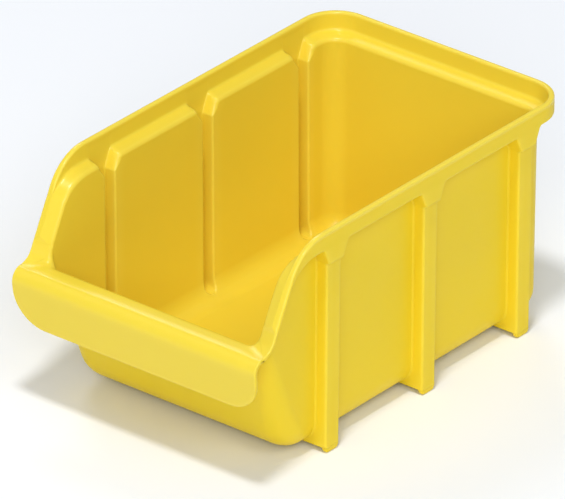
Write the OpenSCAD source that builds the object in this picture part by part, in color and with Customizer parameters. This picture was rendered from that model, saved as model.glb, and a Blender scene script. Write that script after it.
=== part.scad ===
// Open-front stackable storage bin, injection moulded in one piece from yellow plastic.
// The moulding is described region by region. The regions meet face to face and form one rigid body.
// X is the width, Y the length with the open front at -Y, Z is up. The origin is on the ground,
// at the middle of the outer box. Millimetres.

/* [Overall] */
// Length over the rear rim and the front lip
bin_length = 242; // [230:1:260]
// Width over the rim
bin_width = 150; // [140:1:170]
// Height from the ground to the rim
bin_height = 122; // [118:1:140]
// Thickness of the walls and the floor
wall = 2; // [1.6:0.1:2.4]

/* [Tub] */
// Gap between the ground and the underside of the floor
floor_clearance = 3; // [2:0.5:4]
// Outside radius where the floor turns up into the walls
floor_fillet = 13; // [9:0.5:15]
// How far the outside of a wall stands in from the rim, at the ledge
wall_setback = 8.2; // [7.4:0.1:9]
// How much further in it stands at the ground, which is the mould's draft
wall_draft = 0.6; // [0:0.1:2.5]
// Outside plan radius of the tub's front corners at the ground
front_corner = 15; // [12:0.5:18]
// The same radius at the height of the rim, where the corners are tighter
front_corner_top = 4.5; // [4:0.5:8]
// Distance from the lip to the foot of the front wall
front_wall_setback = 37.5; // [36:0.5:44]
// Forward lean of the front wall, in degrees from upright
front_wall_lean = 18.8; // [16:0.1:22]

/* [Rim and ledge] */
// Outside plan radius of the rear corners of the rim
rim_corner = 20; // [17:0.5:24]
// Thickness of the upright rim
rim_wall = 3.3; // [2.5:0.1:3.5]
// Depth from the top of the rim to the ledge beside it
rim_depth = 9.2; // [7.5:0.1:10]
// Fall of the ledge from the rim towards the inside
ledge_fall = 2.1; // [1.5:0.1:3.5]
// Slope of the front edge of the side walls, in degrees from level
slant_angle = 63; // [58:1:68]
// Radius of the rim where it turns down into the slanted edge
rim_bend = 27; // [25:1:36]
// Distance from the lip to where the rim's top line meets the slanted edge's line
slant_setback = 36; // [33:0.2:40]

/* [Lip] */
// Height of the top of the lip
lip_height = 74.2; // [68:0.2:80]
// Height of the lip's label face from its lower edge to the lip's top
label_height = 30; // [24:1:36]
// Thickness of the lip
lip_wall = 2.2; // [1.8:0.1:2.6]
// Radius over the front of the lip
lip_roll = 7; // [5:0.5:9]
// Radius of the label face's lower corners
label_corner = 18; // [12:1:20]

/* [Ribs and feet] */
// Distance between the ribs along a side
rib_pitch = 73.75; // [70:0.25:76]
// Distance from the rear rim to the middle of the rear rib
rear_rib_setback = 32.65; // [31:0.05:36]
// Width of a rib
rib_width = 11; // [9:0.5:12]
// How far a rib stands out from the wall
rib_depth = 6.4; // [5.5:0.1:7]
// Thickness of a foot, below the outer face of its rib
foot_thickness = 3; // [2.5:0.1:3.5]
// Height at which the hollow of a rib starts, above the ground
rib_hollow_start = 8; // [7:0.5:12]
// Height of the flared pocket at the top of a rib, down from the ledge
pocket_depth = 9.4; // [7:0.2:11]
// Width of a pocket at the ledge, outside
pocket_width = 19.2; // [16:0.1:21]

/* [Hidden] */
yellow = [0.89, 0.76, 0.22];
$fn = 64;
hull_fn = 32;
arc_step = 7;
over = 1;
// Small steps that keep two faces from nearly coinciding
hair = 0.01;
lap = 0.1;
edge_step = 0.2;
floor_margin = 0.4;
// Thickness of a level in the hulls of the tub, and its smallest plan radius
slice = 0.02;
min_radius = 0.6;
half_length = bin_length / 2;
half_width = bin_width / 2;
rear_shift = half_length - half_width;

// Walls: outer faces at the ledge and at the ground, and the plan radius of the rear corners
wall_top_x = half_width - wall_setback;
wall_foot_x = wall_top_x - wall_draft;
ledge_base = bin_height - rim_depth - ledge_fall - wall - edge_step;
inner_x = wall_top_x - wall;
rear_corner = rim_corner - wall_setback;
floor_top = floor_clearance + wall;
front_foot_y = -half_length + front_wall_setback;

// Ledge: heights above its base line, at the wall and at the rim
rim_in_x = half_width - rim_wall;
ledge_in = wall + edge_step;
ledge_out = ledge_in + ledge_fall;
ledge_at_rim = 2.5;
ledge_under_rim = ledge_out - ledge_at_rim;
rim_under = ledge_out - edge_step;

// Side view of the rim: the bend, then the slanted edge. The ledge's bend has the same slope.
slant_y = -half_length + slant_setback;
half_turn = tan(slant_angle / 2);
slant_line_y = slant_y - rim_depth / tan(slant_angle);
ledge_bend = 22;
bend_y = slant_line_y + ledge_bend * half_turn;
bend_z = bin_height - rim_depth - ledge_bend;

// Splits between the regions
floor_edge_x = wall_foot_x - floor_fillet - floor_margin;
floor_front_y = front_foot_y + floor_fillet;
floor_rear_y = wall_foot_x + rear_shift - floor_fillet - floor_margin;
rib_y = [for (i = [-2 : 0]) half_length - rear_rib_setback + i * rib_pitch];
rib_half = rib_width / 2;
pocket_half = pocket_width / 2;
rim_corner_y = half_length - rim_corner;
rim_corner_x = half_width - rim_corner;
front_wall_x = wall_foot_x - front_corner;
flange_reach = 8.5;
flange_x = wall_top_x - flange_reach;
lip_under = lip_height - lip_wall;

rib_names = ["front", "middle", "rear"];
panel_names = ["front_side_wall", "middle_side_wall", "rear_side_wall", "rear_corner_wall"];
side_names = ["left", "right"];

function wall_x(z) = wall_foot_x + wall_draft * z / ledge_base;
function front_y(z) = front_foot_y - (z - floor_clearance) * tan(front_wall_lean);
function front_radius(z) = front_corner + (front_corner_top - front_corner) * z / bin_height;
lip_back = front_y(lip_under) + wall + lap;

// A point of the side view at a height h above the ledge's base line, at an angle round the bend
function bend_point(angle, h) = let (r = ledge_bend - ledge_out + h)
    [bend_y - r * sin(angle), bend_z + r * cos(angle)];
function slant_point(distance, h) = bend_point(slant_angle, h)
    + distance * [-cos(slant_angle), -sin(slant_angle)];
bend_steps = 9;
slant_reserve = 4;
slant_length = slant_reserve
    + (bend_point(slant_angle, ledge_out)[1] - lip_height) / sin(slant_angle);
rim_start_y = slant_y + rim_bend * half_turn;
function ledge_path(h) = [
    for (i = [0 : bend_steps]) bend_point(slant_angle * i / bend_steps, h),
    slant_point(slant_length, h)
];

// Arc points round a centre, from one angle to another
function arc(cx, cy, r, a0, a1) = let (n = max(2, ceil(abs(a1 - a0) / arc_step)))
    [for (i = [0 : n]) let (a = a0 + (a1 - a0) * i / n) [cx + r * cos(a), cy + r * sin(a)]];

// Mirror for the left side
module on_side(side) {
    mirror([side == 0 ? 1 : 0, 0, 0]) children();
}

// Extrude a drawing of the YZ plane along X, from x0 to x1
module along_x(x0, x1) {
    translate([x0, 0, 0]) rotate([90, 0, 90]) linear_extrude(height = x1 - x0) children();
}

// Extrude a drawing of the XZ plane along Y, from y0 to y1
module along_y(y0, y1) {
    translate([0, y1, 0]) rotate([90, 0, 0]) linear_extrude(height = y1 - y0) children();
}

// Box from its lowest and highest corners
module block(low, high) {
    translate(low) cube(high - low);
}

// One level of the tub in plan, inset from the outer faces
module tub_level(z, inset, lift) {
    x = wall_x(z) - inset;
    rear = wall_x(z) + rear_shift - inset;
    front = front_y(z) + inset;
    r_rear = max(min_radius, rear_corner - inset);
    r_front = max(min_radius, front_radius(z) - inset);
    for (s = [-1, 1]) {
        translate([s * (x - r_rear), rear - r_rear, z + lift])
            cylinder(r = r_rear, h = slice, $fn = hull_fn);
        translate([s * (x - r_front), front + r_front, z + lift])
            cylinder(r = r_front, h = slice, $fn = hull_fn);
    }
}

// The tub as a filled form, shrunk by an inset on every face
module tub_form(inset) {
    hull() {
        for (a = [0 : 15 : 90])
            tub_level(floor_clearance + floor_fillet * (1 - cos(a)),
                inset * sin(a) + floor_fillet * (1 - sin(a)), inset * cos(a));
        tub_level(bin_height, inset, 0);
    }
}

module tub_shell() {
    difference() {
        tub_form(0);
        tub_form(wall);
    }
}

// Everything below the ledge's base line, in side view, filled down to the ground
module below_ledge() {
    path = ledge_path(0);
    along_x(-half_width, half_width)
        polygon(concat([[half_length, 0], [half_length, ledge_base]], path, [[path[bend_steps + 1][0], 0]]));
}

// A part of the tub's shell between two corners, cut off under the ledge
module tub_region(low, high) {
    intersection() {
        tub_shell();
        below_ledge();
        block(low, high);
    }
}

module floor_panel() {
    color(yellow)
        block([-floor_edge_x, floor_front_y, floor_clearance], [floor_edge_x, floor_rear_y, floor_top]);
}

module front_wall() {
    color(yellow)
        tub_region([-front_wall_x, -half_length, 0], [front_wall_x, floor_front_y, lip_under]);
}

module rear_wall() {
    color(yellow)
        tub_region([-floor_edge_x, floor_rear_y, 0], [floor_edge_x, half_length, bin_height]);
}

// The wall from the slanted edge to the front rib, with the tub's front corner
module front_side_wall(side) {
    back = rib_y[0] - rib_half;
    color(yellow) on_side(side) difference() {
        union() {
            tub_region([front_wall_x, -half_length, 0], [half_width, floor_front_y, lip_under]);
            tub_region([floor_edge_x, floor_front_y, 0], [half_width, back, lip_under]);
            tub_region([flange_x, lip_back, lip_under], [half_width, back, lip_height]);
            tub_region([flange_x, -half_length, lip_height], [half_width, back, bin_height]);
        }
        pocket_gap(0);
    }
}

// The wall between two ribs
module side_wall(side, i) {
    color(yellow) on_side(side) difference() {
        tub_region([floor_edge_x, rib_y[i] + rib_half, 0], [half_width, rib_y[i + 1] - rib_half, bin_height]);
        pocket_gap(i);
        pocket_gap(i + 1);
    }
}

// The wall behind the rear rib, with the tub's rear corner
module rear_corner_wall(side) {
    color(yellow) on_side(side) difference() {
        tub_region([floor_edge_x, rib_y[2] + rib_half, 0], [half_width, half_length, bin_height]);
        pocket_gap(2);
    }
}

// Outer face of a rib, and how far its cheeks reach in over the floor's fillet
function rib_x(z) = wall_x(z) + rib_depth;
rib_root = 6;
pocket_floor = ledge_base - pocket_depth + ledge_out;

// A hollow rib: two cheeks and an outer face, open to the inside of the bin
module rib(side, i) {
    y = rib_y[i];
    color(yellow) on_side(side) difference() {
        union() {
            along_y(y - rib_half, y + rib_half)
                polygon([[wall_x(0) - rib_root, floor_clearance], [rib_x(0), floor_clearance],
                    [rib_x(pocket_floor), pocket_floor], [wall_x(pocket_floor) - wall, pocket_floor],
                    [wall_x(floor_fillet) - wall, floor_fillet]]);
            tub_region([floor_edge_x, y - rib_half, 0], [half_width, y + rib_half, pocket_floor]);
        }
        along_y(y - rib_half + wall, y + rib_half - wall)
            polygon([[wall_x(0) - rib_root - over, rib_hollow_start], [rib_x(0) - wall, rib_hollow_start],
                [rib_x(bin_height) - wall, bin_height], [inner_x - rib_root, bin_height]]);
        tub_form(wall);
    }
}

// The part of a rib that reaches the ground and stands in the pocket of the bin below
module foot(side, i) {
    y = rib_y[i];
    x = rib_x(0);
    color(yellow) on_side(side)
        block([x - foot_thickness, y - rib_half, 0], [x, y + rib_half, floor_clearance]);
}

// Trapezium of a pocket in side view, narrower at the bottom
module pocket_outline(half_top, half_bottom, top, bottom) {
    polygon([[-half_bottom, bottom], [half_bottom, bottom], [half_top, top], [-half_top, top]]);
}

// A flared pocket in the ledge over a rib, flush with the rim outside
module stacking_pocket(side, i) {
    ledge_top = ledge_base + ledge_out;
    ledge_back = ledge_base + ledge_in - over * ledge_fall / (rim_in_x - inner_x);
    color(yellow) on_side(side) translate([0, rib_y[i], 0]) difference() {
        along_x(inner_x, half_width)
            pocket_outline(pocket_half, rib_half, ledge_top, pocket_floor);
        along_x(inner_x - over, rim_in_x)
            pocket_outline(pocket_half - wall, rib_half - wall, ledge_top + hair, pocket_floor - hair);
        along_y(-pocket_half, pocket_half)
            polygon([[inner_x - over, ledge_back], [inner_x, ledge_base + ledge_in], [rim_in_x, ledge_top],
                [rim_in_x, ledge_top + over], [inner_x - over, ledge_top + over]]);
    }
}

// The pocket's envelope, taken out of the ledge
module pocket_gap(i) {
    translate([0, rib_y[i], 0]) along_x(inner_x - over, half_width + over)
        pocket_outline(pocket_half, rib_half, ledge_base + ledge_out, pocket_floor);
}

// Cross-section of the ledge at a side wall
module ledge_section() {
    polygon([[inner_x, ledge_base], [wall_top_x, ledge_base], [rim_in_x, ledge_base + ledge_under_rim],
        [rim_in_x, ledge_base + ledge_out], [inner_x, ledge_base + ledge_in]]);
}

// The sloped ledge from the bend to the front pocket, or between two pockets
module ledge(side, i) {
    front = i == 0 ? bend_y : rib_y[i - 1] + rib_half;
    color(yellow) on_side(side) difference() {
        along_y(front, rib_y[i] - rib_half) ledge_section();
        pocket_gap(max(0, i - 1));
        pocket_gap(i);
    }
}

// Turn a side cross-section round a rear corner
module round_rear_corner() {
    translate([rim_corner_x, rim_corner_y, 0]) rotate_extrude(angle = 90)
        translate([-rim_corner_x, 0]) children();
}

module corner_ledge(side) {
    color(yellow) on_side(side) {
        difference() {
            along_y(rib_y[2] + rib_half, rim_corner_y) ledge_section();
            pocket_gap(2);
        }
        round_rear_corner() ledge_section();
    }
}

module rear_ledge() {
    color(yellow) translate([0, rear_shift, 0]) rotate([0, 0, 90])
        along_y(-rim_corner_x, rim_corner_x) ledge_section();
}

// Cross-section of the upright rim, above and outside the ledge
module rim_section() {
    polygon([[rim_in_x, ledge_base + ledge_under_rim], [half_width, ledge_base + rim_under],
        [half_width, bin_height], [rim_in_x, bin_height]]);
}

// The upright rim of a side, which bends down into the slanted edge and fades away there
module side_rim(side) {
    low = ledge_base + ledge_under_rim;
    color(yellow) on_side(side) difference() {
        along_x(rim_in_x, half_width)
            polygon(concat(
                [[rim_corner_y, low], [rim_corner_y, bin_height]],
                arc(rim_start_y, bin_height - rim_bend, rim_bend, 90, 90 + slant_angle),
                [for (i = [bend_steps : -1 : 0]) bend_point(slant_angle * i / bend_steps, ledge_out)],
                [[bend_y, low]]));
        along_y(bend_y - hair, rim_corner_y + over)
            polygon([[rim_in_x, low], [half_width, ledge_base + rim_under], [half_width + over, low - over],
                [rim_in_x, low - over]]);
        for (i = [0 : 2]) pocket_gap(i);
    }
}

module rear_corner_rim(side) {
    color(yellow) on_side(side) round_rear_corner() rim_section();
}

module rear_rim() {
    color(yellow) translate([0, rear_shift, 0]) rotate([0, 0, 90])
        along_y(-rim_corner_x, rim_corner_x) rim_section();
}

// Inner face of the tub at a side, round its front corner
function tub_inner_x(y, z) = let (r = front_radius(z) - wall, lead = front_y(z) + wall + r - y)
    wall_x(z) - wall - (lead > 0 ? r - sqrt(max(0, r * r - lead * lead)) : 0);

// Cross-section of the flange: distance from the middle of the bin, height above the base line.
// The first and the last point lie on the inner face of the tub.
flange_edge = 1.2;
flange_section = [
    [0, 0], [wall_top_x, 0], [rim_in_x, ledge_under_rim], [half_width, ledge_out - flange_edge],
    [half_width, ledge_out], [rim_in_x, ledge_out], [inner_x + lap, ledge_in], [0, ledge_in]
];
slant_steps = 6;
function flange_line(h) = [
    for (i = [0 : bend_steps]) bend_point(slant_angle * i / bend_steps, h),
    for (i = [1 : slant_steps]) slant_point(slant_length * i / slant_steps, h)
];
function flange_point(p, at) =
    [p[0] > 0 ? p[0] : max(flange_x, min(inner_x, tub_inner_x(at[0], at[1]))), at[0], at[1]];

// The flange along the slanted edge: the ledge carried round the bend and down to the lip
module flange_sweep() {
    n = len(flange_section);
    lines = [for (p = flange_section) flange_line(p[1])];
    last = (bend_steps + slant_steps) * n;
    points = [for (s = [0 : bend_steps + slant_steps], k = [0 : n - 1])
        flange_point(flange_section[k], lines[k][s])];
    quads = [for (s = [0 : n : last - n], k = [0 : n - 1])
        [s + k, s + (k + 1) % n, s + n + (k + 1) % n, s + n + k]];
    skin = [for (q = quads) each [[q[0], q[1], q[2]], [q[0], q[2], q[3]]]];
    strips = [for (k = [0 : n / 2 - 2]) [k, k + 1, n - 2 - k, n - 1 - k]];
    start_cap = [for (q = strips) [q[3], q[2], q[1], q[0]]];
    end_cap = [for (q = strips) [for (k = q) last + k]];
    polyhedron(points, concat(start_cap, skin, end_cap));
}

module front_flange(side) {
    color(yellow) on_side(side) difference() {
        flange_sweep();
        block([0, -half_length - over, 0], [half_width + over, 0, lip_height]);
    }
}

// Side view of the lip: a level top that rolls over the front into the label face
label_rake = 3;
label_foot = lip_height - label_height;
module lip_outline() {
    polygon(concat(
        [[lip_back, lip_under], [lip_back, lip_height - lip_wall / 2]],
        arc(lip_back - lip_wall / 2, lip_height - lip_wall / 2, lip_wall / 2, 0, 90),
        arc(-half_length + lip_roll, lip_height - lip_roll, lip_roll, 90, 180),
        [[-half_length + label_rake, label_foot], [-half_length + label_rake + lip_wall, label_foot]],
        arc(-half_length + lip_roll, lip_height - lip_roll, lip_roll - lip_wall, 180, 90)));
}

// Front view of the lip, with the label face's rounded lower corners
module lip_front_view() {
    polygon(concat(
        [[-half_width, lip_height + over], [-half_width, label_foot + label_corner]],
        arc(-half_width + label_corner, label_foot + label_corner, label_corner, 180, 270),
        arc(half_width - label_corner, label_foot + label_corner, label_corner, 270, 360),
        [[half_width, lip_height + over]]));
}

module grip_lip() {
    color(yellow) difference() {
        along_x(-half_width, half_width) lip_outline();
        block([-half_width - over, -half_length - over, 0],
            [half_width + over, 0, lip_height - lip_roll]);
        tub_form(wall);
    }
}

module label_face() {
    color(yellow) intersection() {
        along_x(-half_width, half_width) lip_outline();
        along_y(-half_length, 0) lip_front_view();
        block([-half_width, -half_length, 0], [half_width, 0, lip_height - lip_roll]);
    }
}

floor_panel();
front_wall();
rear_wall();
for (s = [0, 1]) {
    side = side_names[s];
    front_side_wall(s);
    side_wall(s, 0);
    side_wall(s, 1);
    rear_corner_wall(s);
    for (i = [0 : 2]) {
        rib(s, i);
        foot(s, i);
        stacking_pocket(s, i);
    }
    ledge(s, 0);
    ledge(s, 1);
    ledge(s, 2);
    corner_ledge(s);
    side_rim(s);
    rear_corner_rim(s);
    front_flange(s);
}
rear_ledge();
rear_rim();
grip_lip();
label_face();
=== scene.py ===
"""Looks of the open-front storage bin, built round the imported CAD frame.

Lengths are millimetres until a mesh is made."""
import math

import bpy
import numpy as np
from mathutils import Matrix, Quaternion, Vector


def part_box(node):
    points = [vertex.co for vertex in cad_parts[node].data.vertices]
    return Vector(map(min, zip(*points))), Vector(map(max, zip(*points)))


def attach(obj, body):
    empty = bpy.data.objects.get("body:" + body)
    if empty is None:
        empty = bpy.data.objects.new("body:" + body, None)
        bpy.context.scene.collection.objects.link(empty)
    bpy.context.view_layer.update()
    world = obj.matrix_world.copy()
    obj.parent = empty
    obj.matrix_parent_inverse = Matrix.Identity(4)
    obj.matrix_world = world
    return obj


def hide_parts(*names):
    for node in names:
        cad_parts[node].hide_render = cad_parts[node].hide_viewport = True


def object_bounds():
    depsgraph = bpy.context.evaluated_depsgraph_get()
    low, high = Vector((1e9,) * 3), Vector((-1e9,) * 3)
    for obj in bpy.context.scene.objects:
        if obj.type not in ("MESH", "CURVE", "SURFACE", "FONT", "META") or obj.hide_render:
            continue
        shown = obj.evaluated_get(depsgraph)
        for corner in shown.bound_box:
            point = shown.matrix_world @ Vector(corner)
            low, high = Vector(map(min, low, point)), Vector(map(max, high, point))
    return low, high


MM = 1000.0
SIDES = ("left", "right")
RIBS = ("front", "middle", "rear")

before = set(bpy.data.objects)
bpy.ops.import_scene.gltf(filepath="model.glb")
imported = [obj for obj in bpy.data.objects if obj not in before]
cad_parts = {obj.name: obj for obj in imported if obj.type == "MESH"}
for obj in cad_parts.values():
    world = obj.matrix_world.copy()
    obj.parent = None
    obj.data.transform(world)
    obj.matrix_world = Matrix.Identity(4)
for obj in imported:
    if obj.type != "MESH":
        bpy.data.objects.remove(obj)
cad_low, cad_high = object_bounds()


# ---------------------------------------------------------------- sizes, from the frame

def node_box(name):
    """Lowest and highest corner of a CAD node, in millimetres."""
    low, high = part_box(name)
    return np.array(low) * MM, np.array(high) * MM


HALF_WIDTH = cad_high.x * MM
FRONT = cad_low.y * MM
RIM_TOP = cad_high.z * MM
floor_low, floor_high = node_box("floor_panel")
ledge_low, ledge_high = node_box("right_middle_ledge")
foot_low, foot_high = node_box("right_middle_foot")
lip_high = node_box("grip_lip")[1]
corner_low = node_box("right_rear_corner_rim")[0]
RIB_Y = [sum(b[1] for b in node_box(f"right_{rib}_rib")) / 2 for rib in RIBS]

UNDERSIDE, FLOOR_TOP = floor_low[2], floor_high[2]
WALL = FLOOR_TOP - UNDERSIDE
# the rim's inner face leans out: where it leaves the ledge, and at the rim's top
LEDGE_RIM_X = ledge_high[0] - 0.2
RIM_IN_X = ledge_high[0] + 0.3
RIM_WALL = 3.0
RIM_BAND = 9.0
BAND_OVERLAP = 0.2
BAND_SEAM = 0.45
LEDGE_RIM_Z = ledge_high[2]
LEDGE_FALL = 2.1
WALL_TOP_X = ledge_low[0] + WALL
WALL_DRAFT = 0.6
FLOOR_FILLET = 13.0
CORNER_X, CORNER_Y = corner_low[0], corner_low[1]
REAR_RADIUS = WALL_TOP_X - CORNER_X
REAR_SHIFT = CORNER_Y - CORNER_X
FRONT_RADIUS, FRONT_RADIUS_TOP = 14.0, 4.5
FRONT_LEAN = math.tan(math.radians(18.8))
FRONT_FOOT = floor_low[1] - FLOOR_FILLET
SMALLEST_RADIUS = 0.8

RIB_HALF = 5.25
RIB_SPREAD, RIB_TOP = 0.25, 104
RIB_REACH = foot_high[0] - (WALL_TOP_X - WALL_DRAFT)
CHANNEL_HALF = 3.5
CHANNEL_FLOOR = 8.0
POCKET_FLOOR = 103.4
POCKET_HALF_IN, POCKET_HALF_OUT = 8.2, 9.6
# heights between which the outer face and the inner face step out from the rib to the pocket
POCKET_STEP = (103.1, 103.9)
POCKET_BACK = (104.5, 107.0)

SLANT = math.radians(63)
LEDGE_BEND, RIM_BEND = 22.0, 27.0
LIP_TOP = lip_high[2] - 0.3
LIP_ROLL = 7.0
LIP_FRONT = FRONT + 0.05
LIP_FILLET = 10.0
LABEL_RAKE = math.radians(7.4)
LABEL_CORNER = 18.0
SHEET = 2.2
SLANT_FOOT = FRONT + 11.3

FLANGE_FALL = 2.3
FILLET_TOP = UNDERSIDE + FLOOR_FILLET
TRIM_START = 107.4
# how far below the sheet a leaning wall starts, inside and outside
FLANGE_DROP_IN, FLANGE_DROP_OUT = 3.0, 2.0
LIP_DROP_IN, LIP_DROP_OUT = 5.2, 3.2


def mix(a, b, t):
    return a + (b - a) * t


def smooth(low, high, value):
    t = np.clip((value - low) / (high - low), 0.0, 1.0)
    return t * t * (3 - 2 * t)


def running(steps):
    """Running total, starting from 0."""
    return np.concatenate([[0], np.cumsum(steps)])


# ---------------------------------------------------------------- the tub in plan

def wall_x(z):
    """Outer face of a side wall, which leans out by its draft."""
    return WALL_TOP_X - WALL_DRAFT * (1 - z / ledge_low[2])


def front_y(z):
    """Outer face of the front wall, which leans forward."""
    return FRONT_FOOT - (z - UNDERSIDE) * FRONT_LEAN


class Level:
    """One horizontal section of the tub, inset from its outer face."""

    def __init__(self, z, inset):
        self.x = wall_x(z) - inset
        self.rear = wall_x(z) + REAR_SHIFT - inset
        self.front = front_y(z) + inset
        self.rear_radius = max(SMALLEST_RADIUS, REAR_RADIUS - inset)
        front_radius = mix(FRONT_RADIUS, FRONT_RADIUS_TOP, z / RIM_TOP)
        self.front_radius = max(SMALLEST_RADIUS, front_radius - inset)

    def rear_corner(self, angle):
        r = self.rear_radius
        return self.x - r + r * math.cos(angle), self.rear - r + r * math.sin(angle)

    def front_corner(self, angle):
        r = self.front_radius
        return self.x - r + r * math.cos(angle), self.front + r - r * math.sin(angle)


# ---------------------------------------------------------------- side view of the sheet

BEND_Y = SLANT_FOOT + (LEDGE_RIM_Z - LIP_TOP) / math.tan(SLANT) + LEDGE_BEND * math.tan(SLANT / 2)
BEND_Z = LEDGE_RIM_Z - LEDGE_BEND
SLANT_Y = BEND_Y - LEDGE_BEND * math.sin(SLANT)
SLANT_Z = BEND_Z + LEDGE_BEND * math.cos(SLANT)
RIM_Y = SLANT_FOOT + (RIM_TOP - LIP_TOP) / math.tan(SLANT) + RIM_BEND * math.tan(SLANT / 2)
RIM_Z = RIM_TOP - RIM_BEND
SLANT_LENGTH = (SLANT_Z - LIP_TOP) / math.sin(SLANT) - LIP_FILLET * math.tan(SLANT / 2)
FILLET_END = SLANT_LENGTH + LIP_FILLET * SLANT
ROLL_START = FILLET_END + SLANT_FOOT - LIP_FILLET * math.tan(SLANT / 2) - (LIP_FRONT + LIP_ROLL)
ROLL_END = ROLL_START + LIP_ROLL * (math.pi / 2 + LABEL_RAKE)
LABEL_END = ROLL_END + 22.0


def side_view():
    """The sheet's side view as a fine polyline: distance along it, and y and z.

    The y and z come twice, for the flange and for the lip."""
    step = 0.1
    spare = 20
    s = np.arange(0.0, LABEL_END + spare, step)
    easing = SLANT * (1 - (s - SLANT_LENGTH) / (FILLET_END - SLANT_LENGTH))
    slope = np.select(
        [s < SLANT_LENGTH, s < FILLET_END, s < ROLL_START, s < ROLL_END],
        [SLANT, easing, 0.0, (s - ROLL_START) / LIP_ROLL],
        math.pi / 2 + LABEL_RAKE)
    lip_slope = np.where(s < ROLL_START, 0.0, slope)
    middle = (slope[1:] + slope[:-1]) / 2
    lip_middle = (lip_slope[1:] + lip_slope[:-1]) / 2
    y = SLANT_Y - running(np.cos(middle)) * step
    z = SLANT_Z - running(np.sin(middle)) * step
    lip_y = -running(np.cos(lip_middle)) * step
    lip_z = -running(np.sin(lip_middle)) * step
    return s, y, z, lip_y + y[-1] - lip_y[-1], lip_z + z[-1] - lip_z[-1]


SHEET_S, FLANGE_Y, FLANGE_Z, LIP_Y, LIP_Z = side_view()


def sheet_line(s, height, blend):
    """Points (y, z) at distances s along the sheet, height above its top.

    Blend 0 is the flange, 1 the lip."""
    y, z = mix(FLANGE_Y, LIP_Y, blend), mix(FLANGE_Z, LIP_Z, blend)
    ty, tz = np.gradient(y, SHEET_S), np.gradient(z, SHEET_S)
    size = np.hypot(ty, tz)
    y_at = np.interp(s, SHEET_S, y) + height * np.interp(s, SHEET_S, tz / size)
    z_at = np.interp(s, SHEET_S, z) - height * np.interp(s, SHEET_S, ty / size)
    return y_at, z_at


# ---------------------------------------------------------------- curves

def lengths(curve):
    """Distance of each point along a curve."""
    return running(np.linalg.norm(np.diff(curve, axis=0), axis=1))


def points_at(curve, where):
    along = lengths(curve)
    return np.stack([np.interp(where, along, curve[:, k]) for k in range(3)], axis=1)


def segment(a, b):
    return np.array([a, b], float)


def join(curves, reaches, steps=9):
    """Joins curves end to end. Each corner is rounded, starting its reach away from the corner."""
    total = [lengths(c)[-1] for c in curves]
    ends = len(curves) - 1
    end_share, inner_share = 0.95, 0.48
    share = [end_share if k in (0, ends) else inner_share for k in range(len(curves))]
    room = [share[k] * total[k] for k in range(len(curves))]
    reaches = [min(r, room[k], room[k + 1]) for k, r in enumerate(reaches)]
    pull = 0.56
    hair = 1e-6
    out = []
    for k, curve in enumerate(curves):
        start = reaches[k - 1] if k > 0 else 0.0
        end = total[k] - (reaches[k] if k < ends else 0.0)
        along = lengths(curve)
        inner = along[(along > start + hair) & (along < end - hair)]
        part = points_at(curve, np.concatenate([[start], inner, [end]]))
        if out and reaches[k - 1] > hair:
            a, corner, b = out[-1][-1], curve[0], part[0]
            t = np.linspace(0, 1, steps + 1)[1:-1, None]
            p, q = mix(a, corner, pull), mix(b, corner, pull)
            near_part = (1 - t) ** 3 * a + 3 * t * (1 - t) ** 2 * p
            out.append(near_part + 3 * t * t * (1 - t) * q + t ** 3 * b)
        out.append(part)
    return np.concatenate(out)


def resample(curve, count, turn_weight=3.0):
    """count + 1 points, closer together where the curve turns."""
    step = np.linalg.norm(np.diff(curve, axis=0), axis=1)
    keep = np.concatenate([[True], step > 1e-7])
    curve = curve[keep]
    move = np.diff(curve, axis=0)
    step = np.linalg.norm(move, axis=1)
    heading = move / step[:, None]
    turn = np.arccos(np.clip((heading[1:] * heading[:-1]).sum(1), -1, 1))
    share = np.concatenate([[0], turn]) / 2 + np.concatenate([turn, [0]]) / 2
    measure = running(step + turn_weight * share)
    where = np.linspace(0, measure[-1], count + 1)
    return np.stack([np.interp(where, measure, curve[:, k]) for k in range(3)], axis=1)


# ---------------------------------------------------------------- rows of a station

FILLET_TURNS = np.radians([0, 11, 22, 33, 43.34, 46.6, 51.5, 57.5, 65.8, 78, 90])
WALL_Z = np.array([24, 36, 50, 64, 78, 90, 97, 101, 102.6, 103.1, 103.5, 103.9, 104.8, 106.0])
WALL_SHARE = (WALL_Z - FILLET_TOP) / (TRIM_START - FILLET_TOP)
TOP_ROWS, LOW_ROWS = 54, 34
FILLET_ROWS = len(FILLET_TURNS)
WALL_ROWS = FILLET_ROWS + len(WALL_Z)
ROWS = 2 * WALL_ROWS + TOP_ROWS + LOW_ROWS + 1
TOP_END = WALL_ROWS + TOP_ROWS


def fillet_rows(plan, inside):
    """Rows of the turn from the floor into the wall, from the floor up.

    plan(z, inset) gives x and y."""
    radius = FLOOR_FILLET - (WALL if inside else 0)
    base = FLOOR_TOP if inside else UNDERSIDE
    skin = WALL if inside else 0
    rows = []
    for turn in FILLET_TURNS:
        z = base + radius * (1 - math.cos(turn))
        x, y = plan(z, skin + radius * (1 - math.sin(turn)))
        rows.append((x, y, z))
    return rows


def station(plan, wall_in, wall_out, top, low):
    """All rows of one station, from the inside of the floor over the rim to the underside of the floor.

    wall_in(share) and wall_out(share) give points of the wall, from the fillet (0) to the trim (1)."""
    rows = fillet_rows(plan, True)
    rows += [wall_in(share) for share in WALL_SHARE]
    rows += list(resample(top, TOP_ROWS))
    rows += list(resample(low, LOW_ROWS))[1:]
    rows += [wall_out(share) for share in WALL_SHARE[::-1]]
    rows += fillet_rows(plan, False)[::-1]
    return np.array(rows, float)


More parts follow.
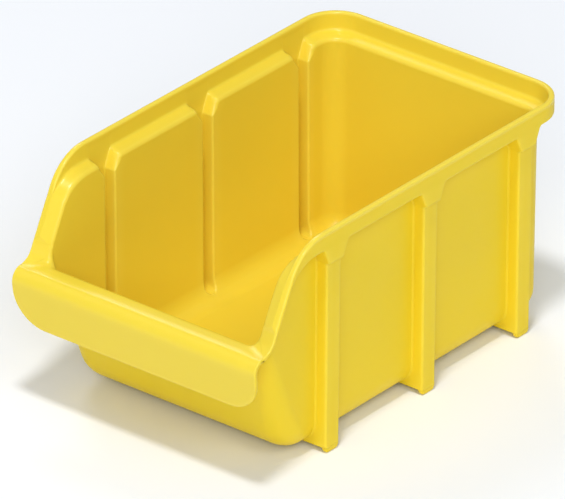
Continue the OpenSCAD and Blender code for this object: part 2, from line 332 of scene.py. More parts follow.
def band_trim(place, rim_height):
    """Ledge and rim over an upright wall, as the top and the low curve of a station.

    place(x, z) gives the station's point for a point of a side wall's section."""
    inner_x = WALL_TOP_X - WALL
    low_z = LEDGE_RIM_Z - BAND_OVERLAP
    ledge_edge = place(inner_x, LEDGE_RIM_Z - LEDGE_FALL)
    ledge_rim = place(LEDGE_RIM_X, LEDGE_RIM_Z)
    rim_in, rim_out = place(RIM_IN_X, rim_height), place(HALF_WIDTH, rim_height)
    band_middle = place(HALF_WIDTH, mix(low_z, rim_height, BAND_SEAM))
    band_low = place(HALF_WIDTH, low_z)
    under_rise = 0.5
    under = place(WALL_TOP_X, ledge_low[2] + under_rise)
    top = join([segment(place(inner_x, TRIM_START), ledge_edge), segment(ledge_edge, ledge_rim),
                segment(ledge_rim, rim_in), segment(rim_in, rim_out), segment(rim_out, band_middle)],
               [1.6, 1.1, 1.2, 1.2])
    low = join([segment(band_middle, band_low), segment(band_low, under),
                segment(under, place(WALL_TOP_X, TRIM_START))], [0.8, 1.2])
    return top, low


def upright_station(plan, place, rim_height=RIM_TOP):
    """A station of the rear wall, a rear corner or a side behind the bend."""
    top, low = band_trim(place, rim_height)

    def wall(inset):
        def at(share):
            z = mix(FILLET_TOP, TRIM_START, share)
            return (*plan(z, inset), z)
        return at

    return station(plan, wall(WALL), wall(0.0), top, low)


# ---------------------------------------------------------------- stations of the right half

REAR_SHARES = (0.0, 0.25, 0.5, 0.75, 0.93)


def rear_stations():
    rows = []
    for share in REAR_SHARES:
        def plan(z, inset, share=share):
            level = Level(z, inset)
            return share * (level.x - level.rear_radius), level.rear

        def place(x, z, share=share):
            return np.array([share * CORNER_X, CORNER_Y + x - CORNER_X, z])
        rows.append(upright_station(plan, place))
    return rows


def rear_corner_stations(count=14):
    rows = []
    for k in range(count + 1):
        angle = math.radians(90 * (1 - k / count))

        def plan(z, inset, angle=angle):
            return Level(z, inset).rear_corner(angle)

        def place(x, z, angle=angle):
            d = x - CORNER_X
            return np.array([CORNER_X + d * math.cos(angle), CORNER_Y + d * math.sin(angle), z])
        rows.append(upright_station(plan, place))
    return rows


QUARTER = np.radians([0, 22.5, 45, 67.5, 90])


def step_lines():
    """Lines across the side of a rib or channel: which arc they are on, and the angle round it."""
    return [("near", a) for a in QUARTER] + [("side", 0.5)] + [("far", a) for a in QUARTER]


STEP = step_lines()


def step_point(line, near, far, depth):
    """Offset from the side's own plane, away from the middle, and share of the depth, for one line."""
    kind, value = line
    scale = np.minimum(1.0, depth / (near + far + 1e-9))
    draft = 0.15
    if kind == "near":
        offset = near - near * math.sin(value) + draft * (value < QUARTER[-1])
        return offset, scale * near * (1 - math.cos(value))
    if kind == "side":
        return np.zeros_like(depth), depth / 2
    return -draft - far + far * math.cos(value), depth - scale * far * (1 - math.sin(value))


def channel_half(z):
    """Half width of a channel inside: round at its lower end, flared at the pocket."""
    roundest = 0.965
    low = np.clip((CHANNEL_FLOOR + CHANNEL_HALF - z) / CHANNEL_HALF, 0.0, roundest)
    return CHANNEL_HALF * np.sqrt(1 - low * low) + flare(z, POCKET_HALF_IN - CHANNEL_HALF)


def rib_half(z):
    """Half width of a rib outside, which spreads a little upwards and flares at the pocket."""
    spread = RIB_SPREAD * np.clip(z / RIB_TOP, 0, 1)
    return RIB_HALF + spread + flare(z, POCKET_HALF_OUT - RIB_HALF - RIB_SPREAD)


def flare(z, growth):
    """Extra half width over the height of a pocket, growing to its full amount at the ledge's rim."""
    return growth * np.clip((z - POCKET_FLOOR) / (LEDGE_RIM_Z - POCKET_FLOOR), 0.0, 1.0)


def rib_face(z):
    """Outer face of a rib, and above it the pocket, which is flush with the rim."""
    rib = wall_x(z) + RIB_REACH
    return mix(rib, HALF_WIDTH, smooth(*POCKET_STEP, z))


def channel_face(z):
    """Back of a channel inside, and above it the pocket, which is flush with the rim's inner face."""
    rib = wall_x(z) + RIB_REACH - WALL
    pocket = mix(rib, LEDGE_RIM_X, smooth(*POCKET_BACK, z))
    return pocket + (RIM_IN_X - LEDGE_RIM_X) * smooth(POCKET_BACK[1], RIM_TOP, z)


def side_section():
    """Section of a side wall as x and z for each row."""
    def plan(z, inset):
        return Level(z, inset).x, 0.0

    def place(x, z):
        return np.array([x, 0.0, z])
    rows = upright_station(plan, place)
    return rows[:, 0], rows[:, 2]


def row_insets():
    """The plan inset of every row of a side section."""
    inside = WALL + (FLOOR_FILLET - WALL) * (1 - np.sin(FILLET_TURNS))
    outside = FLOOR_FILLET * (1 - np.sin(FILLET_TURNS))
    inset = np.zeros(ROWS)
    inset[:FILLET_ROWS] = inside
    inset[FILLET_ROWS:WALL_ROWS] = WALL
    inset[-FILLET_ROWS:] = outside[::-1]
    return inset


SIDE_X, SIDE_Z = side_section()
ROW_INSET = row_insets()
OUTSIDE = np.arange(ROWS) > TOP_END
RIM_SHARE = np.clip((SIDE_X - LEDGE_RIM_X) / RIM_WALL, 0, 1)
OUT_SHARE = np.where(OUTSIDE, 1.0, np.where(SIDE_Z > LEDGE_RIM_Z, RIM_SHARE, 0.0))
WALL_LIKE = (np.arange(ROWS) < WALL_ROWS) | (np.arange(ROWS) >= ROWS - WALL_ROWS)


def corner_start(rear):
    """y of every row where the straight side ends, at the rear or at the front corner."""
    out = np.full(ROWS, CORNER_Y if rear else BEND_Y)
    for k in np.flatnonzero(WALL_LIKE):
        level = Level(SIDE_Z[k], ROW_INSET[k])
        out[k] = level.rear - level.rear_radius if rear else level.front + level.front_radius
    return out


# radii of the rounded edges at the sides of ribs and channels, next to the wall and away from it
NEAR_IN_LOW, NEAR_IN_HIGH, NEAR_IN_HEIGHTS = 1.0, 2.6, (103, 108)
NEAR_OUT, FAR_IN, FAR_OUT = 1.1, 0.9, 1.2
NARROW_HALF = 2.5
PLAIN_RIM = 3


def rib_line(rib, side, line):
    """y and x of every row along one line of a rib."""
    hair = 0.05
    near_in = mix(NEAR_IN_LOW, NEAR_IN_HIGH, smooth(*NEAR_IN_HEIGHTS, SIDE_Z))
    depth_in = np.where(SIDE_Z > CHANNEL_FLOOR + hair, channel_face(SIDE_Z) - SIDE_X, 0.0)
    depth_out = rib_face(SIDE_Z) - SIDE_X
    depth = np.where(OUTSIDE, depth_out, depth_in)
    depth = np.where(SIDE_Z > RIM_TOP - PLAIN_RIM, 0.0, np.maximum(depth, 0.0))
    half = mix(channel_half(SIDE_Z), rib_half(SIDE_Z), OUT_SHARE)
    if line is None:
        return np.full(ROWS, RIB_Y[rib]), SIDE_X + depth
    near = mix(near_in, np.full(ROWS, NEAR_OUT), OUT_SHARE)
    far = mix(np.full(ROWS, FAR_IN), np.full(ROWS, FAR_OUT), OUT_SHARE)
    offset, reach = step_point(line, near, far, depth)
    shrink = np.where(offset < 0, np.minimum(1.0, half / NARROW_HALF), 1.0)
    return RIB_Y[rib] + side * (half + offset * shrink), SIDE_X + reach


def rim_height_at(y):
    """Height of the rim's top along the side, where its bend begins behind the ledge's."""
    inside = max(0.0, RIM_BEND ** 2 - min(0.0, y - RIM_Y) ** 2)
    return RIM_Z + math.sqrt(inside)


def side_stations():
    """Lines of the side from the rear corner to the bend, and the names of the stretches between them."""
    lines = []
    marks = {}

    def between(a, b, shares):
        for share in shares:
            lines.append((mix(a[0], b[0], share), mix(a[1], b[1], share)))

    behind = (corner_start(True), SIDE_X)
    for rib in (2, 1, 0):
        first = rib_line(rib, 1, STEP[0])
        between(behind, first, (0.5,) if rib == 2 else (0.1, 0.3, 0.5, 0.7, 0.9))
        marks[f"{RIBS[rib]}_start"] = len(lines)
        lines += [rib_line(rib, 1, line) for line in STEP]
        lines.append(rib_line(rib, 1, None))
        lines += [rib_line(rib, -1, line) for line in STEP[::-1]]
        marks[f"{RIBS[rib]}_end"] = len(lines) - 1
        behind = lines[-1]
    front = corner_start(False)
    front[WALL_LIKE] = mix(behind[0], front, 0.1)[WALL_LIKE]
    between(behind, (front, SIDE_X), (0.35, 0.7))
    rows = []
    for y, x in lines:
        rows.append(np.stack([x, y, SIDE_Z], axis=1))
    return rows, marks


def lower_rim(rows):
    """Brings the rim of a station down where the rim's bend has begun."""
    trim = slice(WALL_ROWS, ROWS - WALL_ROWS)
    y = rows[trim, 1].mean()
    drop = RIM_TOP - rim_height_at(y)
    z = rows[trim, 2]
    share = np.clip((z - LEDGE_RIM_Z) / (RIM_TOP - LEDGE_RIM_Z), 0, 1)
    rows[trim, 2] = z - drop * share
    return rows


def leaning_station(share, p_in, p_out, top, low):
    """A station whose wall line leans from the bend or the slanted edge down to the front of the floor."""
    def plan(z, inset):
        level = Level(z, inset)
        near = rib_front_line(z, inset)
        return level.x, mix(near, level.front + level.front_radius, share)

    def wall(inset, upper):
        def at(part):
            z = mix(FILLET_TOP, upper[2], part)
            foot = plan(FILLET_TOP, inset)[1]
            return (wall_x(z) - inset, mix(foot, upper[1], part), z)
        return at

    return station(plan, wall(WALL, p_in), wall(0.0, p_out), top, low)


def rib_front_line(z, inset):
    """y of the front rib's foremost line low on the wall, where the leaning stations begin."""
    hair = 0.01
    ahead_in, ahead_out = 1.15, 0.95
    inside = inset >= WALL and z > UNDERSIDE + hair and inset < FLOOR_FILLET + hair
    half = channel_half(np.array(z)) + ahead_in if inside else rib_half(np.array(z)) + ahead_out
    return RIB_Y[0] - float(half)


def bend_station(turn, share):
    """A station on the bend of the ledge: its section stands square to the sheet's side view."""
    sin, cos = math.sin(turn), math.cos(turn)
    foot_y, foot_z = BEND_Y - LEDGE_BEND * sin, BEND_Z + LEDGE_BEND * cos
    to_y, to_z = foot_y - RIM_Y, foot_z - RIM_Z
    along = -to_y * sin + to_z * cos
    inside = max(0.0, along * along - (to_y ** 2 + to_z ** 2 - RIM_BEND ** 2))
    rise = max(0.0, -along + math.sqrt(inside))
    t = turn / SLANT
    fall = mix(LEDGE_FALL, FLANGE_FALL, t)
    skin_at_ledge = 0.4
    return sheet_station(foot_y, foot_z, turn, rise, fall, mix(skin_at_ledge, SHEET, t), share)


def sheet_station(foot_y, foot_z, turn, rise, fall, skin, share):
    """A station square to the sheet: rise is the rim's height over it, fall the ledge's drop."""
    sin, cos = math.sin(turn), math.cos(turn)
    wall_lean = 0.25
    under_skin = 1.0

    def place(x, h):
        return np.array([x, foot_y - h * sin, foot_z + h * cos])

    def on_wall(inset, h, drop):
        z = foot_z + h * cos - drop
        y = foot_y - h * sin + drop * wall_lean
        return np.array([wall_x(z) - inset, y, z])
    edge_z = foot_z - fall * cos
    edge = place(wall_x(edge_z) - WALL, -fall)
    under_h = -fall - mix(under_skin, SHEET, turn / SLANT)
    under = place(wall_x(foot_z + under_h * cos), under_h)
    p_in, p_out = on_wall(WALL, -fall, FLANGE_DROP_IN), on_wall(0.0, under_h, FLANGE_DROP_OUT)
    ledge_rim = place(LEDGE_RIM_X, 0.0)
    rim_in = place(mix(LEDGE_RIM_X, RIM_IN_X, min(1.0, rise / RIM_BAND)), rise)
    rim_out = place(HALF_WIDTH, rise)
    middle = place(HALF_WIDTH, mix(-skin, rise, BAND_SEAM))
    band_low = place(HALF_WIDTH, -skin)
    apart = 1e-4
    top = join([segment(p_in, edge), segment(edge, ledge_rim), segment(ledge_rim, rim_in + apart),
                segment(rim_in, rim_out), segment(rim_out, middle)], [1.7, 1.1, 1.2, 1.1])
    low = join([segment(middle, band_low), segment(band_low, under), segment(under, p_out)], [0.9, 1.4])
    return leaning_station(share, p_in, p_out, top, low)


def meet(plan, height, blend, inset):
    """Distance along the sheet at which the tub's wall, inset from its outer face, meets it."""
    step = 0.25
    s = np.arange(0.0, ROLL_START, step)
    y, z = sheet_line(s, height, blend)
    gap = y - np.array([plan(level_z, inset)[1] for level_z in z])
    k = max(int(np.argmax(gap < 0)), 1)
    return mix(s[k - 1], s[k], gap[k - 1] / (gap[k - 1] - gap[k]))


def fan_station(plan, blend, edge_s, edge_x):
    """A station of the slanted flange or the lip.

    Its line runs from the wall's edge to the sheet's free edge, at edge_s along the sheet."""
    fall = FLANGE_FALL * (1 - blend)
    under_h = -fall - SHEET
    s_in = meet(plan, -fall, blend, WALL)
    s_out = meet(plan, under_h, blend, 0.0)
    fine = 120
    part = np.linspace(0, 1, fine)

    def wall_point(s, height, inset, drop):
        y, z = sheet_line(s, height, blend)
        x, y = plan(float(z) - drop, inset)
        return np.array([x, y, float(z) - drop])
    drop_in = mix(FLANGE_DROP_IN, LIP_DROP_IN, blend)
    drop_out = mix(FLANGE_DROP_OUT, LIP_DROP_OUT, blend)
    p_in, p_out = wall_point(s_in, -fall, WALL, drop_in), wall_point(s_out, under_h, 0.0, drop_out)
    edge_in, edge_out = wall_point(s_in, -fall, WALL, 0.0), wall_point(s_out, under_h, 0.0, 0.0)

    def sheet_curve(s0, x0, high, at_wall):
        s, x = mix(s0, edge_s, part), mix(x0, edge_x, part)
        y, z = sheet_line(s, mix(at_wall, high, part), blend)
        return np.stack([x, y, z], axis=1)
    upper = sheet_curve(s_in, edge_in[0], 0.0, -fall)
    lower = sheet_curve(s_out, edge_out[0], -SHEET, under_h)[::-1]
    middle = (upper[-1] + lower[0]) / 2
    top = join([segment(p_in, upper[0]), upper, segment(upper[-1], middle)], [mix(1.7, 4.4, blend), 0.95])
    low = join([segment(middle, lower[0]), lower, segment(lower[-1], p_out)], [0.95, mix(1.4, 2.6, blend)])

    def wall(inset, upper_point):
        def at(part):
            z = mix(FILLET_TOP, upper_point[2], part)
            return (*plan(z, inset), z)
        return at
    return station(plan, wall(WALL, p_in), wall(0.0, p_out), top, low)


def corner_plan(angle):
    def plan(z, inset):
        return Level(z, inset).front_corner(angle)
    return plan


def front_plan(share):
    def plan(z, inset):
        level = Level(z, inset)
        return share * (level.x - level.front_radius), level.front
    return plan


def flange_and_lip_stations():
    """Stations from the start of the bend to the middle of the lip."""
    rows = []
    bends = 10
    slants = 8
    turning = 26
    label_reach = 46.0
    label_share = 0.8
    first = meet(corner_plan(0.0), -FLANGE_FALL, 0.0, WALL)
    spread = bends + slants

    def lean(k):
        return 0.1 + 0.9 * k / spread
    for k in range(bends + 1):
        rows.append(bend_station(SLANT * k / bends, lean(k)))
    for k in range(1, slants):
        s = first * k / slants
        y, z = sheet_line(s, 0.0, 0.0)
        rows.append(sheet_station(float(y), float(z), SLANT, 0.0, FLANGE_FALL, SHEET, lean(bends + k)))
    edge = [(s, HALF_WIDTH) for s in np.linspace(first, SLANT_LENGTH, 4)]
    edge += [(s, HALF_WIDTH) for s in np.linspace(SLANT_LENGTH, FILLET_END, 6)[1:]]
    fillet_end = spread + len(edge) - 1
    edge += [(s, HALF_WIDTH) for s in np.linspace(ROLL_START, ROLL_END, 10)]
    edge += [(s, HALF_WIDTH) for s in np.linspace(ROLL_END, LABEL_END - LABEL_CORNER, 3)[1:]]
    for turn in np.radians(np.linspace(0, 90, 12)[1:]):
        edge.append((LABEL_END - LABEL_CORNER + LABEL_CORNER * math.sin(turn),
                     HALF_WIDTH - LABEL_CORNER + LABEL_CORNER * math.cos(turn)))
    edge += [(LABEL_END, x) for x in (52.0, label_reach)]
    flat = len(edge) - 1 - turning
    for k, (s, x) in enumerate(edge):
        if k <= turning:
            share = k / turning
            rows.append(fan_station(corner_plan(math.pi / 2 * share), float(smooth(0, 1, share)), s, x))
        else:
            share = mix(1.0, label_share, (k - turning) / flat)
            rows.append(fan_station(front_plan(share), 1.0, s, x))
    for share in (0.62, 0.42, 0.2, 0.0):
        rows.append(fan_station(front_plan(share), 1.0, LABEL_END, label_reach * share / label_share))
    return rows, {"corner": spread, "fillet_end": fillet_end}


def half_shell():
    """All stations of the right half, from the middle of the rear wall to the middle of the lip."""
    rows = rear_stations()
    marks = {"rear_wall": len(rows)}
    rows += rear_corner_stations()
    marks["corner_end"] = len(rows) - 1
    side, side_marks = side_stations()
    for key, value in side_marks.items():
        marks[key] = value + len(rows)
    rows += [lower_rim(r) for r in side]
    front, front_marks = flange_and_lip_stations()
    marks["bend_start"] = len(rows)
    for key, value in front_marks.items():
        marks[key] = value + len(rows)
    rows += front
    return np.array(rows), marks


RIGHT, MARKS = half_shell()
HALF = len(RIGHT) - 1
MIRROR = np.array([-1.0, 1.0, 1.0])
SHELL = np.concatenate([RIGHT, RIGHT[HALF - 1:0:-1] * MIRROR])
STATIONS = len(SHELL)


def shell_normals():
    """Area-weighted normal of every point of the shell, pointing out of the plastic."""
    a = SHELL[:, :-1]
    b = np.roll(SHELL, -1, axis=0)[:, :-1]
    c = np.roll(SHELL, -1, axis=0)[:, 1:]
    d = SHELL[:, 1:]
    face = np.cross(c - a, d - b)
    total = np.zeros_like(SHELL)
    total[:, :-1] += face
    total[:, 1:] += face
    total[:, :-1] += np.roll(face, 1, axis=0)
    total[:, 1:] += np.roll(face, 1, axis=0)
    total[:, 0] = (0, 0, 1)
    total[:, -1] = (0, 0, -1)
    size = np.linalg.norm(total, axis=2, keepdims=True)
    return total / np.maximum(size, 1e-12)


NORMALS = shell_normals()


def edge_sharpness():
    """How convex the surface is at every point of the shell, from 0 (flat or hollow) to 1 (a crisp edge)."""
    least_move, crisp = 0.01, 1.6
    total = np.zeros(SHELL.shape[:2])
    for axis, shift in ((0, 1), (0, -1), (1, 1), (1, -1)):
        move = np.roll(SHELL, shift, axis) - SHELL
        turn = np.roll(NORMALS, shift, axis) - NORMALS
        bend = (move * turn).sum(2) / np.maximum((move * move).sum(2), least_move)
        total += np.clip(bend, 0, 1.0)
    return np.clip(total / crisp, 0, 1)


SHARPNESS = edge_sharpness()


# ---------------------------------------------------------------- pieces cut from the shell

POCKET_ROW = FILLET_ROWS + int(np.searchsorted(WALL_Z, POCKET_FLOOR - 0.4))


def row_near(x, z, low, high):
    """The row of a side section nearest to x, z, between two rows."""
    part = RIGHT[MARKS["corner_end"] + 1, low:high]
    return low + int(np.argmin(np.hypot(part[:, 0] - x, part[:, 2] - z)))


RIM_INNER = row_near(LEDGE_RIM_X, LEDGE_RIM_Z, WALL_ROWS, TOP_END)
RIM_OUTER = row_near(HALF_WIDTH, LEDGE_RIM_Z + 0.6, TOP_END, TOP_END + LOW_ROWS)
LOW_START = TOP_END + LOW_ROWS
MATT_START = row_near(HALF_WIDTH, mix(LEDGE_RIM_Z, RIM_TOP, 0.75), RIM_INNER + 12, LOW_START)


def run(first, last):
    return list(range(first, last + 1))


WALL_RUNS = run(0, WALL_ROWS) + run(LOW_START, ROWS - 1)
RIB_RUNS = run(0, POCKET_ROW) + run(ROWS - 1 - POCKET_ROW, ROWS - 1)
POCKET_RUNS = run(POCKET_ROW, RIM_INNER) + run(RIM_OUTER, ROWS - 1 - POCKET_ROW)
LEDGE_RUNS = run(WALL_ROWS, RIM_INNER) + run(RIM_OUTER, LOW_START)
RIM_RUNS = run(RIM_INNER, RIM_OUTER)
SHEET_RUNS = run(WALL_ROWS, LOW_START)


def new_mesh(name, verts, faces, sharpness, materials, normals=None, slots=None):
    """A mesh piece from millimetre points, with its shading normals and its edge attribute."""
    mesh = bpy.data.meshes.new(name)
    mesh.from_pydata((np.asarray(verts) / MM).tolist(), [], faces)
    for material in materials:
        mesh.materials.append(material)
    if slots is not None:
        mesh.polygons.foreach_set("material_index", slots)
    mesh.polygons.foreach_set("use_smooth", [True] * len(mesh.polygons))
    layer = mesh.attributes.new("edge", "FLOAT", "POINT")
    layer.data.foreach_set("value", np.asarray(sharpness, np.float32))
    if normals is not None:
        mesh.normals_split_custom_set(normals)
    mesh.update()
    piece = bpy.data.objects.new(name, mesh)
    bpy.context.scene.collection.objects.link(piece)
    return piece


def newell(points):
    """Unit normal of a face, from its corners in order."""
    following = np.roll(points, -1, axis=0)
    normal = np.cross(points, following).sum(0)
    return normal / max(np.linalg.norm(normal), 1e-12)


def zipped_cap(points):
    """Triangles that close a ring. Its two sides are zipped together, so the cap stays inside."""
    low, high = 0, len(points) - 1
    faces = []
    while high - low > 1:
        rise = np.linalg.norm(points[low + 1] - points[high])
        fall = np.linalg.norm(points[low] - points[high - 1])
        if rise < fall:
            faces.append([low, low + 1, high])
            low += 1
        else:
            faces.append([low, high - 1, high])
            high -= 1
    return faces


def shell_piece(name, first, last, rows, mirrored=False):
    """A solid cut from the shell: stations first to last, and a ring of rows.

    Points that coincide are merged, and faces that this folds flat are left out."""
    if mirrored:
        first, last = STATIONS - last, STATIONS - first
    stations = [k % STATIONS for k in range(first, last + 1)]
    count = len(rows)
    verts = SHELL[stations][:, rows].reshape(-1, 3)
    normals = NORMALS[stations][:, rows].reshape(-1, 3)
    sharpness = SHARPNESS[stations][:, rows].reshape(-1)
    faces, corner_normals, slots = [], [], []
    found = {}
    same = [found.setdefault(tuple(np.round(vert, 3)), k) for k, vert in enumerate(verts)]

    def add(face, own_normals, slot):
        kept = [k for k in range(len(face)) if same[face[k]] != same[face[k - 1]]]
        face = [same[face[k]] for k in kept]
        if len(face) < 3 or len(set(face)) < len(face):
            return
        faces.append(face)
        slots.append(slot)
        corner_normals.extend(own_normals[k] for k in kept)
    for i in range(len(stations) - 1):
        for k in range(count):
            following = (k + 1) % count
            a, b = i * count + k, i * count + following
            c, d = a + count, b + count
            face = [a, c, d, b]
            skin = rows[following] - rows[k] == 1
            own = normals[face] if skin else [newell(verts[face])] * 4
            add(face, [tuple(n) for n in own], int(skin and rows[k] >= MATT_START))
    last_ring = (len(stations) - 1) * count
    for face in zipped_cap(verts[:count]):
        add(face, [tuple(newell(verts[face]))] * 3, 0)
    for face in zipped_cap(verts[last_ring:]):
        face = [last_ring + k for k in face[::-1]]
        add(face, [tuple(newell(verts[face]))] * 3, 0)
    used = sorted({k for face in faces for k in face})
    place = {k: n for n, k in enumerate(used)}
    faces = [[place[k] for k in face] for face in faces]
    return new_mesh(name, verts[used], faces, sharpness[used], (SMOOTH, MATT), corner_normals, slots)


def floor_piece(name):
    """The flat floor, inside the fillets at the foot of the walls."""
    top, under = SHELL[:, 0], SHELL[:, -1]
    verts = np.concatenate([top, under])
    upper = list(range(STATIONS))[::-1]
    lower = [STATIONS + k for k in range(STATIONS)]
    faces = [upper, lower]
    slots = [0, 1]
    for k in range(STATIONS):
        following = (k + 1) % STATIONS
        faces.append([k, following, STATIONS + following, STATIONS + k])
        slots.append(0)
    normals = []
    for face in faces:
        normals.extend([tuple(newell(verts[face]))] * len(face))
    return new_mesh(name, verts, faces, np.zeros(len(verts)), (SMOOTH, MATT), normals, slots)


# height, inset all round and further inset of the two ends, from the top of a foot down
FOOT_LEVELS = ((UNDERSIDE, 0.0, 0.0), (2.2, 0.0, 0.12), (1.4, 0.05, 0.5), (0.8, 0.15, 1.0),
               (0.35, 0.35, 1.65), (0.1, 0.6, 2.3), (0.0, 0.85, 2.9))
WORN_LEVELS, WORN = 3, 0.8


def foot_piece(name, side, rib):
    """A foot below a rib: a rounded pad flush with the rib's outer face."""
    outer = float(rib_face(np.array(UNDERSIDE)))
    inner = foot_low[0]
    margin = 0.1
    half = RIB_HALF - margin
    corner = 1.2
    x_low, x_high = inner + corner, outer - corner
    y_low, y_high = RIB_Y[rib] - half + corner, RIB_Y[rib] + half - corner
    outline = []
    corners = ((x_high, y_low, -90), (x_high, y_high, 0), (x_low, y_high, 90), (x_low, y_low, 180))
    for cx, cy, start in corners:
        for turn in np.radians(np.linspace(start, start + 90, 7)):
            outline.append((cx, cy, math.cos(turn), math.sin(turn)))
    verts = []
    for z, inset, end_inset in FOOT_LEVELS:
        for cx, cy, nx, ny in outline:
            r = corner - inset
            y = cy + r * ny - RIB_Y[rib]
            verts.append((side * (cx + r * nx), RIB_Y[rib] + y * (half - end_inset) / (half - inset), z))
    count = len(outline)
    faces = []
    for k in range(len(FOOT_LEVELS) - 1):
        for n in range(count):
            m = (n + 1) % count
            faces.append([k * count + n, (k + 1) * count + n, (k + 1) * count + m, k * count + m])
    faces.append(list(range(count)))
    faces.append(list(range((len(FOOT_LEVELS) - 1) * count, len(FOOT_LEVELS) * count))[::-1])
    if side < 0:
        faces = [face[::-1] for face in faces]
    sharp = [0.0] * ((len(FOOT_LEVELS) - WORN_LEVELS) * count) + [WORN] * (WORN_LEVELS * count)
    piece = new_mesh(name, verts, faces, sharp, (MATT,))
    piece.data.set_sharp_from_angle(angle=math.radians(50))
    return piece


# ---------------------------------------------------------------- materials

def nodes_of(name):
    material = bpy.data.materials.new(name)
    material.use_nodes = True
    tree = material.node_tree
    tree.nodes.clear()
    shader = tree.nodes.new("ShaderNodeBsdfPrincipled")
    output = tree.nodes.new("ShaderNodeOutputMaterial")
    tree.links.new(shader.outputs["BSDF"], output.inputs["Surface"])
    return material, tree, shader


def noise(tree, place, scale, detail, roughness=0.5):
    node = tree.nodes.new("ShaderNodeTexNoise")
    node.inputs["Scale"].default_value = scale
    node.inputs["Detail"].default_value = detail
    node.inputs["Roughness"].default_value = roughness
    tree.links.new(place, node.inputs["Vector"])
    return node.outputs["Fac"]


def ramp(tree, value, low, high, out_low, out_high):
    node = tree.nodes.new("ShaderNodeMapRange")
    node.inputs["From Min"].default_value = low
    node.inputs["From Max"].default_value = high
    node.inputs["To Min"].default_value = out_low
    node.inputs["To Max"].default_value = out_high
    tree.links.new(value, node.inputs["Value"])
    return node.outputs["Result"]


def blend_colour(tree, value, first, second):
    node = tree.nodes.new("ShaderNodeMix")
    node.data_type = "RGBA"
    tree.links.new(value, node.inputs["Factor"])
    for socket, colour in (("A", first), ("B", second)):
        target = [s for s in node.inputs if s.name == socket and s.type == "RGBA"][0]
        if isinstance(colour, tuple):
            target.default_value = (*colour, 1.0)
        else:
            tree.links.new(colour, target)
    return [s for s in node.outputs if s.type == "RGBA"][0]


def bump(tree, height, strength, distance, below=None):
    node = tree.nodes.new("ShaderNodeBump")
    node.inputs["Strength"].default_value = strength
    node.inputs["Distance"].default_value = distance
    tree.links.new(height, node.inputs["Height"])
    if below is not None:
        tree.links.new(below, node.inputs["Normal"])
    return node.outputs["Normal"]


# tones of the plastic: a deeper and a lighter one, which drift into each other at random, and that of rubbed
# edges
SMOOTH_TONES = ((0.860, 0.656, 0.050), (0.870, 0.668, 0.053), (0.892, 0.703, 0.080))
MATT_TONES = ((0.868, 0.640, 0.021), (0.880, 0.652, 0.023), (0.900, 0.690, 0.050))


def plastic(name, tones, gloss, shine, grain):
    """Moulded polypropylene: a slight drift of colour, edges rubbed paler, and a surface grain."""
    material, tree, shader = nodes_of(name)
    deep, light, worn = tones
    place = tree.nodes.new("ShaderNodeTexCoord").outputs["Object"]
    drift = ramp(tree, noise(tree, place, 14.0, 3.0), 0.3, 0.7, 0.0, 1.0)
    colour = blend_colour(tree, drift, deep, light)
    edge = tree.nodes.new("ShaderNodeAttribute")
    edge.attribute_name = "edge"
    rub = tree.nodes.new("ShaderNodeMath")
    rub.operation = "MULTIPLY"
    tree.links.new(edge.outputs["Fac"], rub.inputs[0])
    patches = ramp(tree, noise(tree, place, 90.0, 4.0), 0.25, 0.75, 0.45, 1.0)
    tree.links.new(patches, rub.inputs[1])
    colour = blend_colour(tree, rub.outputs["Value"], colour, worn)
    tree.links.new(colour, shader.inputs["Base Color"])
    polish = ramp(tree, noise(tree, place, 60.0, 5.0, 0.6), 0.3, 0.7, *gloss)
    tree.links.new(polish, shader.inputs["Roughness"])
    waves = bump(tree, noise(tree, place, 22.0, 2.0), 0.12, 0.0005)
    fine, strength, depth = grain
    normal = bump(tree, noise(tree, place, fine, 3.0, 0.6), strength, depth, waves)
    tree.links.new(normal, shader.inputs["Normal"])
    shader.inputs["IOR"].default_value = 1.49
    shader.inputs["Specular IOR Level"].default_value = shine
    shader.inputs["Subsurface Weight"].default_value = 0.08
    shader.inputs["Subsurface Radius"].default_value = (1.0, 0.6, 0.1)
    shader.inputs["Subsurface Scale"].default_value = 0.0015
    return material


def floor_material():
    material, tree, shader = nodes_of("pale_floor")
    place = tree.nodes.new("ShaderNodeTexCoord").outputs["Object"]
    tint = ramp(tree, noise(tree, place, 3.0, 2.0), 0.3, 0.7, 0.0, 1.0)
    colour = blend_colour(tree, tint, (0.93, 0.95, 0.99), (0.94, 0.96, 1.00))
    tree.links.new(colour, shader.inputs["Base Color"])
    shader.inputs["Roughness"].default_value = 0.9
    shader.inputs["Specular IOR Level"].default_value = 0.1
    return material


SMOOTH = plastic("plastic_smooth", SMOOTH_TONES, (0.24, 0.27), 0.30, (900.0, 0.06, 0.00010))
MATT = plastic("plastic_grained", MATT_TONES, (0.40, 0.50), 0.22, (1500.0, 0.40, 0.00020))


# ---------------------------------------------------------------- the pieces

def finish_piece(piece, *nodes):
    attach(piece, "root")
    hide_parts(*nodes)


def cut(node, first, last, rows, mirrored=False, also=()):
    """Cuts one piece, named after its CAD node, and hides the CAD nodes it stands for."""
    finish_piece(shell_piece(f"{node}_skin", first, last, rows, mirrored), node, *also)


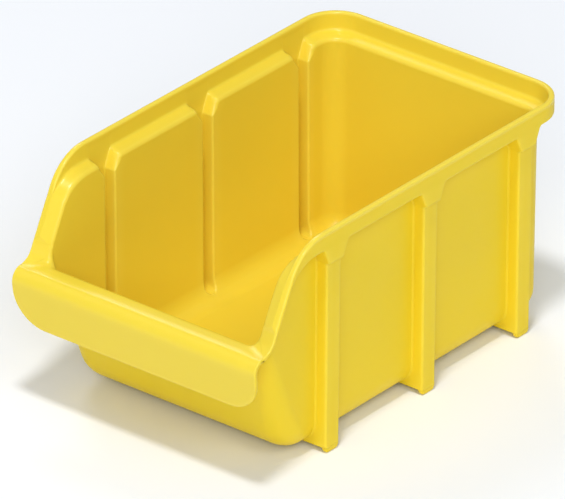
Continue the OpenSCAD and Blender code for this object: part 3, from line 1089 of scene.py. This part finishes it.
def cut_pieces():
    m = MARKS
    back = m["rear_wall"]
    finish_piece(floor_piece("floor_panel_skin"), "floor_panel")
    for node, rows in (("rear_wall", WALL_RUNS), ("rear_ledge", LEDGE_RUNS), ("rear_rim", RIM_RUNS)):
        cut(node, -back, back, rows)
    cut("front_wall", m["corner"], STATIONS - m["corner"], WALL_RUNS)
    cut("grip_lip", m["fillet_end"], STATIONS - m["fillet_end"], SHEET_RUNS, also=("label_face",))
    stretches = (
        ("rear_corner_wall", back, m["rear_start"], WALL_RUNS),
        ("rear_side_wall", m["rear_end"], m["middle_start"], WALL_RUNS),
        ("middle_side_wall", m["middle_end"], m["front_start"], WALL_RUNS),
        ("front_side_wall", m["front_end"], m["corner"], WALL_RUNS),
        ("corner_ledge", back, m["rear_start"], LEDGE_RUNS),
        ("rear_ledge", m["rear_end"], m["middle_start"], LEDGE_RUNS),
        ("middle_ledge", m["middle_end"], m["front_start"], LEDGE_RUNS),
        ("front_ledge", m["front_end"], m["bend_start"], LEDGE_RUNS),
        ("rear_corner_rim", back, m["corner_end"], RIM_RUNS),
        ("rim", m["corner_end"], m["bend_start"], RIM_RUNS),
        ("front_flange", m["bend_start"], m["fillet_end"], SHEET_RUNS),
    )
    for side, sign in zip(SIDES, (-1, 1)):
        for part, first, last, rows in stretches:
            cut(f"{side}_{part}", first, last, rows, sign < 0)
        for k, rib in enumerate(RIBS):
            first, last = m[f"{rib}_start"], m[f"{rib}_end"]
            cut(f"{side}_{rib}_rib", first, last, RIB_RUNS, sign < 0)
            cut(f"{side}_{rib}_stacking_pocket", first, last, POCKET_RUNS, sign < 0)
            foot = f"{side}_{rib}_foot"
            finish_piece(foot_piece(f"{foot}_skin", sign, k), foot)


cut_pieces()


# ---------------------------------------------------------------- stage, lights and camera

def add_floor():
    mesh = bpy.data.meshes.new("floor")
    reach = 6.0
    corners = [(-reach, -reach, 0), (reach, -reach, 0), (reach, reach, 0), (-reach, reach, 0)]
    mesh.from_pydata(corners, [], [(0, 1, 2, 3)])
    mesh.materials.append(floor_material())
    floor = bpy.data.objects.new("floor", mesh)
    bpy.context.scene.collection.objects.link(floor)


def add_area(name, place, aim, size, power):
    data = bpy.data.lights.new(name, "AREA")
    data.shape = "DISK"
    data.size = size
    data.energy = power
    light = bpy.data.objects.new(name, data)
    light.location = place
    light.rotation_euler = (Vector(aim) - Vector(place)).to_track_quat("-Z", "Y").to_euler()
    bpy.context.scene.collection.objects.link(light)


# each softbox's name, place in metres, size in metres and power in watts
LIGHTS = (
    ("overhead", (0.40, -0.84, 3.10), 0.44, 42.0),
    ("front_softbox", (-0.70, -3.20, 1.50), 1.80, 6.0),
    ("right_softbox", (2.50, -1.00, 2.70), 1.80, 20.0),
    ("left_softbox", (-2.40, -1.20, 2.40), 1.80, 4.0),
    ("fill", (3.75, -4.65, 3.45), 3.00, 154.0),
    ("backdrop_softbox", (-1.90, 1.40, 2.40), 1.20, 16.0),
)
SKY = ((0.93, 0.97, 1.0), 0.28)


def add_lights():
    middle = (0.0, 0.0, 0.06)
    for name, place, size, power in LIGHTS:
        add_area(name, place, middle, size, power)
    world = bpy.data.worlds.new("studio")
    world.use_nodes = True
    background = world.node_tree.nodes["Background"]
    background.inputs["Color"].default_value = (*SKY[0], 1.0)
    background.inputs["Strength"].default_value = SKY[1]
    bpy.context.scene.world = world


CAMERA_PLACE = Vector((2.9071, -3.5896, 2.5336))
CAMERA_AIM = Vector((0.02003, -0.03249, 0.08))
CAMERA_LENS, CAMERA_ROLL = 692.8, math.radians(0.102)


def add_camera():
    data = bpy.data.cameras.new("camera")
    data.sensor_width = 36.0
    data.lens = CAMERA_LENS
    camera = bpy.data.objects.new("camera", data)
    camera.location = CAMERA_PLACE
    look = (CAMERA_AIM - CAMERA_PLACE).to_track_quat("-Z", "Y")
    turn = look @ Quaternion((0.0, 0.0, 1.0), CAMERA_ROLL)
    camera.rotation_euler = turn.to_euler()
    bpy.context.scene.collection.objects.link(camera)
    bpy.context.scene.camera = camera


add_floor()
add_lights()
add_camera()
bpy.context.scene.view_settings.view_transform = "Standard"
